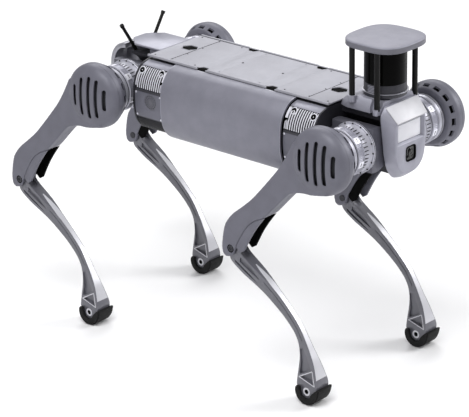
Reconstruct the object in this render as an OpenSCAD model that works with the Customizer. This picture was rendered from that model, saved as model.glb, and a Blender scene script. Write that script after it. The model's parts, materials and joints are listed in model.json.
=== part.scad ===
// Four-legged walking robot with a lidar tower, a barrel-shaped trunk and three joints in each leg.
// Millimetres. +X points to the head, +Y to the robot's left, +Z up; Z = 0 is the floor.
// Every piece is drawn about the point midway between the four hips and moved to its place last.

/* [Stance] */
// Distance between the front and rear hip axes
hip_span = 657; // [600:1:720]
// Height of the fore-and-aft hip hinge from the trunk's middle plane, sideways
hip_side = 72; // [70:1:76]
// Distance from that hinge to the middle plane of a leg
leg_offset = 119.7; // [118:0.1:122]
// Distance between the thigh hinge and the knee hinge
thigh_len = 350; // [345:1:360]
// Distance between the knee hinge and the foot's middle
calf_len = 350; // [345:1:360]
// Lean of the thighs backward from upright
thigh_back = 43.6; // [38:0.1:48]
// Lean of the calves forward from upright
calf_fwd = 37.2; // [32:0.1:42]
// Radius of the rubber foot
foot_r = 30; // [28:0.5:32]

/* [Trunk] */
// Height of the deck above the hip axes
deck_z = 83; // [80:0.5:86]
// Width of the deck
deck_w = 182; // [176:1:184]
// Length of the deck with its end covers
deck_len = 524; // [516:1:528]
// Length of the deck's middle plate
deck_mid_len = 400; // [380:1:420]
// Length of the barrel-shaped side shells
shell_len = 348; // [330:1:350]
// Wall of the covers
wall = 3; // [2:0.5:4]

/* [Payload holes] */
// Distance between the payload holes along the deck
bolt_dx = 117; // [100:1:130]
// Distance between the payload holes across the deck
bolt_dy = 156; // [150:1:160]
// Radius of a payload hole
bolt_r = 2.1; // [1.6:0.1:2.6]

/* [Head] */
// Distance of the face from the middle between the hips
face_x = 412; // [405:1:420]
// Distance of the lidar's axis from the middle between the hips
lidar_x = 342.5; // [335:0.5:350]
// Radius of the lidar
lidar_r = 46.5; // [44:0.5:50]
// Height of the lidar cap's rim above the hip axes
cap_z = 212; // [205:1:225]
// Half the width of the lidar cap
cap_half = 75; // [72:1:80]

/* [Leg] */
// Radius of the round pod at the top of the thigh
pod_r = 75; // [72:0.5:76]
// Radius of the knee pins
knee_pin_r = 8; // [7:0.5:9]
// Radius of the crank and of the lever that the knee rod joins
lever_r = 20; // [19:0.5:21]
// Clearance between a shaft and its bore
fit = 0.05; // [0.03:0.01:0.08]

/* [Hidden] */
LEGS = [["fr", -1, 1], ["fl", 1, 1], ["rr", -1, -1], ["rl", 1, -1]];
LEG_PARTS = ["hip_link", "thigh_motor", "thigh_frame", "thigh_cover", "knee_guard",
             "knee_crank", "knee_rod", "calf", "shoe"];
$fn = 48;

// Outline of the thigh in its own plane: first along the thigh from the hip, then across it,
// where plus is the front and lower side.
thigh_rear = [[20, -68], [45, -61], [70, -55], [100, -50], [137, -47.5], [178, -45.5],
              [216, -45], [250, -48], [284, -52], [308, -51], [327, -46], [353, -30],
              [370, -16], [378, -4]];
thigh_front = [[375, 6], [364, 12], [353, 13], [335, 6], [301, -3], [269, -8], [243, -5],
               [216, 4], [190, 5], [130, 5], [107, 9], [82, 24], [60, 44], [25, 68]];
// Outline of the calf in its own plane: along the calf from the knee, then across it, where
// plus is the front and upper side.
calf_rear = [[0, -14], [12, -20], [24, -22], [51, -13], [83, 1], [117, 14], [149, 24],
             [178, 32], [204, 37], [229, 39], [252, 34.5], [275, 22], [295, 5], [310, -9],
             [324, -20], [337, -25]];
calf_front = [[350, 34], [336, 40], [307, 49], [276, 54], [250, 57.5], [222, 60], [200, 59],
              [157, 53], [120, 45], [93, 38], [50, 23], [22, 14.5], [0, 14]];
// Half width of the calf at distances along it
calf_half = [[-40, 14], [60, 14], [85, 12], [115, 9], [150, 7.3], [200, 6.8], [245, 7.6],
             [280, 9.5], [310, 13], [335, 17.5], [352, 20.5], [392, 21]];
// Rear outline of the face: outward, then up
bezel_side = [[50, 92], [61, 76], [62, 66], [58.5, 40], [53.5, 5], [50, -20], [43, -45],
              [33, -63], [20, -76], [0, -82]];
// Outer and inner edge of the rubber sole, forward and up from the foot's middle
sole_outer = [[-28, 11], [-30, 0], [-27.7, -11.5], [-21.2, -21.2], [-11.5, -27.7], [0, -30],
              [11.5, -27.7], [21.8, -20.6], [29, -11], [33, 0], [35, 11]];
sole_inner = [[27.5, 10], [21, 3.5], [15.4, -3], [10.6, -10.6], [0, -15], [-10.6, -10.6],
              [-15.4, -2], [-19.5, 7]];
// Side of the trunk's cross-section: outward, then up
barrel = [[92, 80], [108, 76], [121, 69], [136, 51], [144, 30], [147, 0], [146, -30],
          [140, -55], [127, -75], [109, -88], [85, -97.5], [61, -104]];
// Dome of the thigh pod: radius, then outward
pod_dome = [[pod_r, 182], [pod_r, 190], [pod_r - 1, 199], [pod_r - 4.5, 207], [62, 214],
            [48, 219.5], [30, 223.3], [14, 224.7], [0.01, 225]];

leg_y = hip_side + leg_offset;
knee_x = -thigh_len * sin(thigh_back);
knee_z = -thigh_len * cos(thigh_back);
foot_x = knee_x + calf_len * sin(calf_fwd);
foot_z = knee_z - calf_len * cos(calf_fwd);
hip_z = foot_r - foot_z;
thigh_turn = -90 - thigh_back;
calf_turn = calf_fwd - 90;
lever_x = -lever_r * sin(calf_fwd);
lever_z = lever_r * cos(calf_fwd);
// How far the thigh reaches behind its hip, which sets the rearmost point of the robot
rear_reach = max([for (p = thigh_outline()) p[0] * sin(thigh_back) - p[1] * cos(thigh_back)]);
nose_x = face_x + 4;
mid_x = (nose_x - hip_span / 2 - rear_reach) / 2;
// Leg layers, measured outward from the middle of the trunk
cheek_in = 168;
cheek_out = 214;
cheek_wall = 7;
split_y = 193;
ear = 8.5;
calf_in = leg_y - 14;
calf_out = leg_y + 14;
rod_in = 187.2;
rod_out = 196.2;
crank_in = 198;
crank_out = 203.5;
motor_face = 157;
flange_in = 84;
// Trunk layers
end_x = deck_len / 2;
tub_half = 76;
tub_low = -96;
frame_top = deck_z - wall;
plate_t = 4.3;
journal_r = 30;
face_back = 377;
tail_front = 354;
antenna_x = -361.5;
antenna_y = 22;
antenna_z = 54;
antenna_lean = 33;
barrel_sweep_r = 75.4;
journal_len = 16;
sweep_r = 62;
hub_r = 50;
inset_block = 7;
window_z = 131;

// Smooth curves through a list of points

function spline(a, b, c, d, u) =
    0.5 * (2 * b + (c - a) * u + (2 * a - 5 * b + 4 * c - d) * u * u
           + (3 * b - a - 3 * c + d) * u * u * u);

function curve(p, steps = 3) = [
    for (i = [0:len(p) - 2])
        for (j = [0:steps - 1])
            spline(p[max(i - 1, 0)], p[i], p[i + 1], p[min(i + 2, len(p) - 1)], j / steps),
    p[len(p) - 1]
];

function reversed(p) = [for (i = [len(p) - 1:-1:0]) p[i]];

// A curve moved sideways by d, to the right of its own direction
function inset(p, d) = [
    for (i = [0:len(p) - 1])
        let (a = p[max(i - 1, 0)], b = p[min(i + 1, len(p) - 1)], l = norm(b - a))
            p[i] + d * [(b[1] - a[1]) / l, -(b[0] - a[0]) / l]
];

function thigh_outline() = concat(curve(thigh_rear), curve(thigh_front));

function squircle(a, b, n) = [
    for (i = [0:5:355])
        [a * sign(cos(i)) * pow(abs(cos(i)), 2 / n), b * sign(sin(i)) * pow(abs(sin(i)), 2 / n)]
];

// Placing helpers

module robot() translate([-mid_x, 0, hip_z]) children();

module leg(side, end)
    robot() translate([end * hip_span / 2, 0, 0]) mirror([0, side < 0 ? 1 : 0, 0]) children();

module both_sides() {
    children();
    mirror([0, 1, 0]) children();
}

module four_corners() {
    both_sides() {
        children();
        mirror([1, 0, 0]) children();
    }
}

// Turns a shape made about Z so that its axis runs outward, starting at y0
module outward(y0 = 0) translate([0, y0, 0]) rotate([-90, 0, 0]) children();

// Turns a shape made about Z so that its axis runs forward, starting at x0
module forward(x0 = 0) translate([x0, 0, 0]) rotate([0, 90, 0]) children();

// A flat shape in a plane along the leg, turned by an angle and spread from y0 to y1
module in_plane(turn, y0, y1)
    translate([0, y1, 0]) rotate([90, 0, 0]) rotate([0, 0, turn])
        linear_extrude(y1 - y0) children();

// A flat shape drawn as outward, up and spread from x0 to x1
module across(x0, x1)
    translate([x0, 0, 0]) rotate([90, 0, 90]) linear_extrude(x1 - x0) children();

module block(x0, x1, y0, y1, z0, z1)
    translate([x0, y0, z0]) cube([x1 - x0, y1 - y0, z1 - z0]);

module knee() translate([knee_x, 0, knee_z]) children();

// Trunk

module barrel_strip(out, thick) {
    skin = curve(barrel);
    polygon(concat(inset(skin, out), reversed(inset(skin, out + thick))));
}

module side_shell() {
    across(-shell_len / 2, shell_len / 2) barrel_strip(0, wall);
    for (x = [-shell_len / 2, shell_len / 2 - 2])
        across(x, x + 2) barrel_strip(wall, 5);
}

module side_shell_left() color("slategray") robot() side_shell();

module side_shell_right() color("slategray") robot() mirror([0, 1, 0]) side_shell();

module tub_section() difference() {
    translate([-tub_half, tub_low]) square([2 * tub_half, deck_z - wall - tub_low]);
    translate([-tub_half + wall, tub_low + wall]) square([2 * (tub_half - wall), 200]);
}

module end_plate() {
    skin = inset(curve(barrel), 5);
    difference() {
        across(end_x - 4, end_x) polygon(concat(skin, [for (p = reversed(skin)) [-p[0], p[1]]]));
        both_sides() translate([0, hip_side, 0]) forward(end_x - 20) cylinder(r = journal_r + 3, h = 40);
    }
}

// The dark casting that carries the hip hinges, and beyond them the head or the tail
module end_core(reach, top) {
    block(shell_len / 2 - 4, end_x - 4, -15, 15, tub_low, frame_top);
    end_plate();
    difference() {
        union() {
            block(end_x - 1, end_x + reach, -14, 14, -72, top);
            block(end_x - 1, end_x + reach, -46, 46, 34, top);
            block(end_x - 1, end_x + 62, -24, 24, -80, -52);
        }
        both_sides() translate([0, hip_side, 0]) forward(end_x) cylinder(r = sweep_r, h = 160);
    }
}

module chassis() color("dimgray") robot() {
    across(-shell_len / 2 + 4, shell_len / 2 - 4) tub_section();
    for (x = [-shell_len / 2 + 2, shell_len / 2 - 6])
        block(x, x + 4, -tub_half, tub_half, tub_low, frame_top);
    end_core(face_back - end_x, 78);
    mirror([1, 0, 0]) end_core(tail_front - end_x, 60);
    for (y = [-antenna_y, antenna_y])
        translate([0, y, antenna_z]) forward(-tail_front - 13) cylinder(r = 2, h = 14);
}

module pocket_outline(l, w) polygon([[-l / 2, 0], [-l / 4, w / 2], [l / 4, w / 2], [l / 2, 0],
                                     [l / 4, -w / 2], [-l / 4, -w / 2]]);

module end_pocket() translate([222, -6]) pocket_outline(42, 30);

module side_pocket() translate([100, deck_w / 2 - 5]) pocket_outline(30, 24);

module deck_edge(x0, x1) {
    bead = 4.5;
    for (y = [-deck_w / 2, deck_w / 2 - bead])
        block(x0, x1, y, y + bead, deck_z - 0.01, deck_z + 2);
}

module deck_plate() color("gainsboro") robot() difference() {
    union() {
        block(-deck_mid_len / 2, deck_mid_len / 2, -deck_w / 2, deck_w / 2, deck_z - wall, deck_z);
        deck_edge(-deck_mid_len / 2, -116);
        deck_edge(-84, 84);
        deck_edge(116, deck_mid_len / 2);
    }
    for (x = [-bolt_dx / 2, bolt_dx / 2])
        for (y = [-bolt_dy / 2, bolt_dy / 2])
            translate([x, y, deck_z - 10]) cylinder(r = bolt_r, h = 20);
    translate([0, 0, deck_z - 10]) linear_extrude(20)
        four_corners() side_pocket();
    translate([0, 0, deck_z - 10]) linear_extrude(20)
        for (a = [0, 180]) rotate([0, 0, a]) end_pocket();
}

module deck_end_covers() color("gainsboro") robot() for (a = [0, 1]) mirror([a, 0, 0])
    difference() {
        union() {
            block(deck_mid_len / 2 + 0.6, end_x, -deck_w / 2, deck_w / 2, deck_z - wall, deck_z);
            deck_edge(deck_mid_len / 2 + 0.6, end_x);
        }
        translate([0, 0, deck_z - 10]) linear_extrude(20) mirror([0, a, 0]) end_pocket();
    }

module lashing_pockets() color("black") robot() {
    tray = 1.5;
    translate([0, 0, deck_z - wall]) linear_extrude(tray)
        intersection() {
            four_corners() side_pocket();
            square([deck_len, deck_w], center = true);
        }
    translate([0, 0, deck_z - wall]) linear_extrude(tray)
        for (a = [0, 180]) rotate([0, 0, a]) end_pocket();
}

module belly_cover() color("slategray") robot()
    block(-shell_len / 2, shell_len / 2, -60, 60, -104, -99.5);

module battery_pack() color("darkslategray") robot() {
    block(-150, 150, -70, 70, tub_low + wall, 20);
    block(-60, 60, -8, 8, 20, 30);
}

module control_board() color("darkgreen") robot() {
    block(-120, 120, -64, 64, 40, 42);
    block(-40, 20, -30, 30, 42, 58);
    block(40, 80, -40, 0, 42, 50);
    for (x = [-110, 110])
        for (y = [-56, 56])
            translate([x, y, 20]) cylinder(r = 3, h = 20);
}

module hip_block() {
    skin = inset(curve(barrel), inset_block);
    first = shell_len / 2 + 2;
    last = end_x - 4.5;
    fins = [for (p = inset(skin, -1)) if (p[1] > 19 && p[1] < 68) p];
    fin_root = [for (p = inset(skin, 6)) if (p[1] > 19 && p[1] < 68) p];
    difference() {
        across(first, last) polygon(concat(skin, [[17, -96], [17, 72]]));
        for (i = [0:10])
            across(188 + 6 * i, 191 + 6 * i) polygon(concat(fins, reversed(fin_root)));
        translate([0, hip_side, 0]) forward(end_x - journal_len - 6)
            cylinder(r = journal_r + fit, h = 40);
        translate([210, 0, -5]) outward(136) cylinder(r = 17.5, h = 20);
    }
}

module hip_blocks() color("silver") robot() four_corners() hip_block();

module fan_guards() color("dimgray") robot() four_corners() translate([210, 0, -5])
    difference() {
        outward(136) cylinder(r = 17.4, h = 2.5);
        for (ring = [[1, 0], [6, 6.5], [12, 12.5]])
            for (i = [0:ring[0] - 1])
                rotate([0, 360 * i / ring[0], 0]) translate([ring[1], 0, 0])
                    outward(130) cylinder(r = 1.9, h = 20);
    }

// Head

module hood_section(half, top)
    polygon([[-half, 62], [-half, top - 16], [-half + 8, top], [half - 8, top], [half, top - 16],
             [half, 62]]);

module head_hood() color("lightgray") robot() difference() {
    union() {
        hull() {
            across(end_x + 0.5, end_x + 1) translate([0, -8]) hood_section(52, deck_z + 8);
            across(290, 291) hood_section(64, 103);
        }
        across(291, 352) hood_section(64, 103);
        across(352, 377) hood_section(56, 100);
        for (y = [-64, 64])
            translate([304, y, 92]) cylinder(r = 9, h = 14);
        both_sides() hull() {
            translate([371, 64, 70]) cylinder(r = 9, h = 18, $fn = 32);
            translate([371, 50, 70]) cylinder(r = 9, h = 18, $fn = 32);
        }
    }
    block(end_x - 5, 378, -47, 47, 20, 79);
    both_sides() translate([0, hip_side, 0]) forward(end_x - 1) cylinder(r = barrel_sweep_r, h = 130);
    translate([lidar_x, 0, 103]) cylinder(r = lidar_r + 0.3, h = 20);
    translate([lidar_x, 0, 99]) cylinder(r = 12, h = 20);
    for (y = [-64, 64])
        translate([371, y, 84]) cylinder(r = 6.4, h = 20);
    block(face_back - 0.5, 400, -80, 80, 40, 120);
}

function face_outline(half, top, low) = concat(
    [[-half, top], [half, top]],
    [for (a = [0:-12:-180]) [half * cos(a), low + half + half * sin(a)]]
);

module face_bezel() color("silver") robot() difference() {
    hull() {
        across(face_back, face_back + 1) polygon(concat(bezel_side, [
            for (p = reversed(bezel_side)) [-p[0], p[1]]]));
        across(face_x - 1, face_x) polygon(face_outline(50.5, 56, -61));
        across(face_x + 1, face_x + 4) polygon([[-50, 56], [50, 56], [50, 58.5], [-50, 58.5]]);
    }
    hull() {
        across(face_x - 8, face_x - 7) square_at(-40, 40, 12, 54);
        across(face_x + 5, face_x + 6) square_at(-44, 44, 6, 56.5);
    }
    translate([0, 0, -18]) forward(face_x - 12)
        linear_extrude(40) polygon(squircle(17.2, 17.2, 5));
    block(face_back - 1, face_x - 14, -30, 30, -40, 60);
}

module square_at(y0, y1, z0, z1) polygon([[y0, z0], [y1, z0], [y1, z1], [y0, z1]]);

module light_panel() color("white") robot()
    across(face_x - 8, face_x - 5) square_at(-38, 38, 13, 52);

module camera_window() color("black") robot() translate([0, 0, -18]) {
    forward(face_x - 12) linear_extrude(10) polygon(squircle(16.9, 16.9, 5));
    forward(face_x - 2) cylinder(r = 7, h = 1.5);
}

// Lidar tower

module lidar_base() color("darkgray") robot() translate([lidar_x, 0, 0]) {
    translate([0, 0, 103]) cylinder(r = lidar_r, h = 9.5);
    translate([0, 0, 112.5]) cylinder(r = lidar_r - 0.8, h = window_z - 112.5);
    translate([0, 0, window_z]) cylinder(r = 5, h = 12);
    translate([0, 0, 99.5]) cylinder(r = 11.5, h = 4);
}

module lidar_window() color("black") robot() translate([lidar_x, 0, window_z])
    rotate_extrude() translate([lidar_r - 3.3, 0]) square([2.5, cap_z - window_z - 0.2]);

module lidar_rotor() color("gray") robot() translate([lidar_x, 0, window_z + 1]) difference() {
    cylinder(r = 38, h = cap_z - window_z - 8);
    translate([0, 0, -1]) cylinder(r = 5 + fit, h = 13);
    translate([30, -12, 12]) cube([20, 24, 50]);
}

module lidar_cap() color("silver") robot() translate([lidar_x, 0, cap_z]) {
    rise = [[0, 0], [13.5, 1.2], [16.5, 4], [18, 12], [19.2, 24], [20, 40]];
    for (i = [0:len(rise) - 2])
        translate([0, 0, rise[i][0]]) linear_extrude(rise[i + 1][0] - rise[i][0])
            polygon(squircle(cap_half - rise[i][1], cap_half + 1 - rise[i][1], 3));
}

module lidar_posts() color("black") robot() for (y = [-64, 64]) {
    translate([304, y, 106]) cylinder(r = 6.2, h = cap_z - 106);
    translate([371, y, 84]) cylinder(r = 6.2, h = cap_z - 84);
}

// Tail

module rear_hood() color("lightgray") robot() mirror([1, 0, 0]) {
    translate([0, 0, 79.5]) linear_extrude(4.5)
        polygon([[end_x + 0.5, -50], [341, -50], [373, -20], [373, 20], [341, 50],
                 [end_x + 0.5, 50]]);
    block(end_x + 0.5, 300, -44, 44, 60.2, 79.5);
}

module tail_shell() color("silver") robot() mirror([1, 0, 0]) {
    outer = curve([[371, 77], [386, 74.5], [400, 66], [412, 50], [418, 28], [417, 4], [408, -22],
                   [392, -46], [374, -63], [357, -71.5]]);
    inner = inset(outer, 11);
    skin = inset(outer, 4);
    translate([0, 50, 0]) rotate([90, 0, 0]) linear_extrude(100)
        polygon(concat(outer, reversed(skin)));
    for (y = [-50, 46])
        translate([0, y + 4, 0]) rotate([90, 0, 0]) linear_extrude(4)
            polygon(concat(skin, reversed(inner)));
    block(tail_front, 403, -13, 13, -50, 50);
}

module antenna() translate([antenna_x, antenna_y, antenna_z]) difference() {
    union() {
        forward(-4.4) cylinder(r = 5.5, h = 8.8);
        rotate([-antenna_lean, 0, 0]) {
            cylinder(r = 3.8, h = 84);
            translate([0, 0, 81]) cylinder(r = 4.9, h = 6);
            translate([0, 0, 8]) cylinder(r = 4.6, h = 14);
        }
    }
    forward(-10) cylinder(r = 2 + fit, h = 20);
}

module antenna_right() color("black") robot() mirror([0, 1, 0]) antenna();

module antenna_left() color("black") robot() antenna();

// Leg

module hip_link() color("dimgray") difference() {
    union() {
        translate([0, hip_side, 0]) {
            forward(-62) cylinder(r = hub_r, h = 108);
            forward(-62 - journal_len) cylinder(r = journal_r, h = journal_len + 1);
        }
        outward(hip_side - 2) cylinder(r = hub_r + 2, h = 14);
    }
    block(-90, 90, flange_in, 200, -90, 90);
}

module thigh_motor() color("silver") rotate([-90, 0, 0]) rotate_extrude($fn = 72)
    polygon([[0, flange_in], [57, flange_in], [57, 91], [53, 93.5], [49.5, 99], [48, 107],
             [49, 115], [54, 117], [54, 136], [51, 137], [51, 139.5], [52.5, 140.5],
             [52.5, motor_face], [journal_r, motor_face], [journal_r, 171], [0, 171]]);

module pod_solid() rotate([-90, 0, 0]) rotate_extrude($fn = 96)
    polygon(concat([[0, 160], [64, 160]], curve(pod_dome, 2), [[0, 225]]));

module pod_space() rotate([-90, 0, 0]) rotate_extrude($fn = 96)
    polygon(concat([[0, 172], [38, 172], [38, 163.5], [60.5, 163.5], [pod_r - 3.2, 184]],
                   [for (p = curve(pod_dome, 2)) if (p[1] > 185 && p[0] > 10)
                       [p[0] - 3, p[1] - 3 * sin(90 * (1 - p[0] / pod_r))]],
                   [[0, 222]]));

module thigh_slab(y0, y1) in_plane(thigh_turn, y0, y1) polygon(thigh_outline());

// The space between the thigh's cheeks: closed behind, open below the knee and in front of it
module thigh_space() in_plane(thigh_turn, cheek_in + cheek_wall, cheek_out - 6)
    polygon(concat([[0, -66]], [for (p = curve(thigh_rear)) if (p[0] < 338) p + [0, 3.5]],
                   [[338, -38], [400, -38], [400, 60], [216, 60], [216, 1.5], [130, 1.5],
                    [105, 5], [78, 21], [56, 41], [20, 62], [0, 66]]));

module thigh_hollow() difference() {
    union() {
        pod_solid();
        thigh_slab(cheek_in, cheek_out);
    }
    pod_space();
    thigh_space();
}

module thigh_frame() color("gray") {
    difference() {
        thigh_hollow();
        block(-500, 500, split_y, 400, -500, 500);
        outward(158) cylinder(r = journal_r + fit, h = 20);
        for (i = [-7:3])
            rotate([0, 24 * i, 0]) translate([58, 165, -8]) cube([24, 9, 16]);
    }
    knee() outward(cheek_in + 5) cylinder(r = knee_pin_r, h = calf_in + ear - 1 - cheek_in - 5);
}

module vent(x, z0, z1) {
    w = 10;
    translate([x - w / 2, z0 + w / 2]) square([w, z1 - z0 - w]);
    for (z = [z0 + w / 2, z1 - w / 2])
        translate([x, z]) circle(d = w, $fn = 24);
}

module thigh_cover() color("gray") {
    difference() {
        union() {
            difference() {
                thigh_hollow();
                block(-500, 500, 0, split_y, -500, 500);
            }
            outward(204) cylinder(r = 18, h = 19);
        }
        outward(203) cylinder(r = 10 + fit, h = 9);
        translate([0, 260, 0]) rotate([90, 0, 0]) linear_extrude(48) {
            vent(-38, -24, 26);
            vent(-16.6, -42, 46);
            vent(6.5, -46, 52);
            vent(28, -41, 48);
            vent(49.7, -20, 29);
        }
        knee() outward(cheek_out - 4) cylinder(r = 9.5, h = 10);
    }
    knee() outward(calf_out - ear + 1) cylinder(r = knee_pin_r, h = cheek_out - 4 - calf_out + ear - 1);
    knee() outward(cheek_out - 4.5) cylinder(r = 7.4, h = 3.5);
}

module knee_guard() color("black")
    for (y = [cheek_in + 1, cheek_out - 7])
        in_plane(thigh_turn, y, y + 6)
            polygon(concat(curve([[216, 5], [228, 6], [247, 8], [267, 11], [286, 15],
                                  [306, 20.5], [322, 25]], 2),
                           [[333, 22], [334, 6.5]],
                           [for (p = curve(thigh_front)) if (p[0] > 216 && p[0] < 333) p + [0, 0.2]]));

module knee_crank() color("dimgray") {
    outward(crank_in) cylinder(r = 28, h = crank_out - crank_in);
    outward(crank_out - 0.5) cylinder(r = 10, h = 8);
    translate([lever_x, 0, lever_z]) outward(rod_in + 0.3) cylinder(r = 4, h = crank_in - rod_in);
}

module knee_rod() color("silver") translate([lever_x, 0, lever_z]) in_plane(thigh_turn, rod_in, rod_out)
    difference() {
        union() {
            translate([0, -3.6]) square([thigh_len, 7.2]);
            for (s = [0, thigh_len])
                translate([s, 0]) circle(r = 7);
        }
        for (s = [0, thigh_len])
            translate([s, 0]) circle(r = 4 + fit);
    }

// The calf seen from its side
module calf_side() {
    polygon(concat(curve(calf_rear), [[350, -24], [368, -10], [368, 20]], curve(calf_front)));
    circle(r = 14);
    translate([-lever_r, -7.5]) square([lever_r, 15]);
    translate([-lever_r, 0]) circle(r = 7.5);
}

// The calf seen from its front, drawn along the calf and outward
module calf_width() {
    edge = curve(calf_half, 2);
    polygon(concat(edge, [for (p = reversed(edge)) [p[0], -p[1]]]));
}

module calf_body() intersection() {
    linear_extrude(60, center = true) calf_side();
    rotate([90, 0, 0]) linear_extrude(300, center = true) calf_width();
}

// Side pockets that leave ribs near the knee, and the two pockets above the foot
module calf_pockets() {
    for (z = [-14.1, 9.6])
        translate([0, 0, z]) linear_extrude(4.5) {
            polygon([[24, -12], [30, -15], [62, -1], [96, 14], [70, 7]]);
            polygon([[26, 6], [34, -2], [92, 24], [60, 21]]);
        }
    for (z = [-30, 5])
        translate([0, 0, z]) linear_extrude(25) {
            polygon([[262, 32], [264, 42], [312, 36], [314, 30], [309, 0], [305, 1], [292, 14]]);
        }
    for (z = [-35, 10])
        translate([0, 0, z]) linear_extrude(25)
            polygon([[319.7, 34.4], [315.7, -0.8], [344.5, 26.4]]);
}

module calf() color("lightgray") translate([knee_x, leg_y, knee_z]) rotate([90, 0, 0])
    rotate([0, 0, calf_turn]) {
        rod_gap = rod_out - rod_in + 2;
        rod_mid = leg_y - (rod_in + rod_out) / 2;
        difference() {
            calf_body();
            calf_pockets();
            translate([0, 0, rod_mid - rod_gap / 2]) linear_extrude(rod_gap)
                polygon([[-45, -12], [-10, -12], [-10, -1.5], [52, 26], [52, 60], [-45, 60]]);
            for (z = [-15, 14 - ear])
                translate([0, 0, z]) cylinder(r = knee_pin_r + fit, h = ear + 1);
            translate([0, 0, -40]) linear_extrude(80) shoe_zone();
            translate([calf_len, 0, -40]) cylinder(r = 4, h = 80);
        }
        translate([-lever_r, 0, rod_mid - rod_gap / 2 - 1]) cylinder(r = 4, h = rod_gap + 2);
    }

// Draws in the directions forward and up from the foot's middle
module foot_axes() translate([calf_len, 0]) rotate(-calf_turn) children();

// Everything below the sole's inner edge
module shoe_zone() foot_axes() polygon(concat(curve(sole_inner), [[-60, 7], [-60, -60], [60, -60],
                                                                  [60, 10]]));

module sole_edge(size) foot_axes() scale(size)
    polygon(concat(curve(sole_outer), curve(sole_inner)));

module shoe() color("black") translate([knee_x, leg_y, knee_z]) rotate([90, 0, 0])
    rotate([0, 0, calf_turn]) difference() {
        union() {
            linear_extrude(42, center = true) sole_edge(1);
            linear_extrude(52, center = true) difference() {
                sole_edge(0.93);
                foot_axes() circle(r = 15.4);
            }
        }
        linear_extrude(60, center = true) difference() {
            foot_axes() square(120, center = true);
            shoe_zone();
        }
    }

module leg_part(part, side, end) leg(side, end) {
    if (part == "hip_link") mirror([end < 0 ? 1 : 0, 0, 0]) hip_link();
    if (part == "thigh_motor") thigh_motor();
    if (part == "thigh_frame") thigh_frame();
    if (part == "thigh_cover") thigh_cover();
    if (part == "knee_guard") knee_guard();
    if (part == "knee_crank") knee_crank();
    if (part == "knee_rod") knee_rod();
    if (part == "calf") calf();
    if (part == "shoe") shoe();
}

chassis();
deck_plate();
deck_end_covers();
lashing_pockets();
side_shell_right();
side_shell_left();
belly_cover();
battery_pack();
control_board();
hip_blocks();
fan_guards();
head_hood();
face_bezel();
light_panel();
camera_window();
lidar_base();
lidar_window();
lidar_rotor();
lidar_cap();
lidar_posts();
rear_hood();
tail_shell();
antenna_right();
antenna_left();
for (l = LEGS)
    for (p = LEG_PARTS)
        leg_part(p, l[1], l[2]);
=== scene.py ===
import json
import math

import bmesh
import bpy
from mathutils import Matrix, Vector

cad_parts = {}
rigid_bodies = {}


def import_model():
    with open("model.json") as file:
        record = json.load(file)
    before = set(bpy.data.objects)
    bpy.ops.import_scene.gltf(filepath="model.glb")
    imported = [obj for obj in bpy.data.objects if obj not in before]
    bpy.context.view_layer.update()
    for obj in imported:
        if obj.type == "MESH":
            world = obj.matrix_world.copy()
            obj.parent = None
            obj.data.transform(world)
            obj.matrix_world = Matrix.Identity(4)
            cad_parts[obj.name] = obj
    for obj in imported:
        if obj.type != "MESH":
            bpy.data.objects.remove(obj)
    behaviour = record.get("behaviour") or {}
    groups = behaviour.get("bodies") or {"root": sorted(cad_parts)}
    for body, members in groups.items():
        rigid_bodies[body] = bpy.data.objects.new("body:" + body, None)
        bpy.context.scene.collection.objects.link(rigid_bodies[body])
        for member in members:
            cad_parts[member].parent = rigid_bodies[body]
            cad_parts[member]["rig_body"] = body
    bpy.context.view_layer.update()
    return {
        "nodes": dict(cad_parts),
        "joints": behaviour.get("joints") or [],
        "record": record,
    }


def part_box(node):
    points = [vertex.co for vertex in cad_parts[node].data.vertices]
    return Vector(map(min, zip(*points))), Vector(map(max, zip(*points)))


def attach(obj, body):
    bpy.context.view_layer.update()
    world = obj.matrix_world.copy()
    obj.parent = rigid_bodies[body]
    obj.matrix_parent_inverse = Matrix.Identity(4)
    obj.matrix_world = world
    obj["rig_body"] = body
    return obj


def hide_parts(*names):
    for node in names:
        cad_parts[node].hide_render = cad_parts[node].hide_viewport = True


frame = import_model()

MM = 0.001
# Each leg's name, its side (1 is the robot's left) and its end (1 is the head)
LEGS = [("fr", -1, 1), ("fl", 1, 1), ("rr", -1, -1), ("rl", 1, -1)]


def middle(node):
    low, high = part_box(node)
    return (low + high) / 2


# Everything below is drawn in millimetres about the point midway between the four hips, and a leg's
# pieces about its own hip, as a left leg.
front_hip, rear_hip = middle("thigh_motor_fl"), middle("thigh_motor_rl")
CENTRE = Vector(((front_hip.x + rear_hip.x) / 2, 0, front_hip.z))
HIP_X = (front_hip.x - rear_hip.x) / 2 / MM
TRUNK = Matrix.Translation(CENTRE) @ Matrix.Scale(MM, 4)
JOINTS = {j["name"]: Vector(j["pos_m"]) for j in frame["joints"]}
MOUNTS = {m["name"]: Vector(m["pos_m"]) for m in frame["record"]["mounts"]}
LOW, HIGH = 0, 1
X, Y, Z = 0, 1, 2


def edge(node, end, axis):
    """Where a CAD node's box begins (LOW) or ends (HIGH) along an axis, from CENTRE."""
    return round((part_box(node)[end] - CENTRE)[axis] / MM, 2)


def leg_matrix(side, end):
    """Takes a leg's drawing to its corner, mirrored for the right side."""
    place = Matrix.Translation(CENTRE + Vector((end * HIP_X * MM, 0, 0)))
    return place @ Matrix.Diagonal((MM, side * MM, MM, 1))


KNEE = (JOINTS["knee_fl"] - JOINTS["thigh_swing_fl"]) / MM
LEG_Y = JOINTS["knee_fl"].y / MM
THIGH_TURN = math.atan2(KNEE.z, KNEE.x)
CALF_LEAN = 37.2  # forward from upright, in degrees
CALF_TURN = math.radians(CALF_LEAN - 90)
CALF = 350

# ---------------------------------------------------------------- materials


def tone(value, tint=0.0):
    """A grey with the object's slight lilac tint, from its sRGB level of 0 to 255."""
    def linear(c):
        c /= 255
        return c / 12.92 if c <= 0.04045 else ((c + 0.055) / 1.055) ** 2.4
    return (linear(value), linear(value), linear(min(255, value * (1 + tint))), 1)


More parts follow.
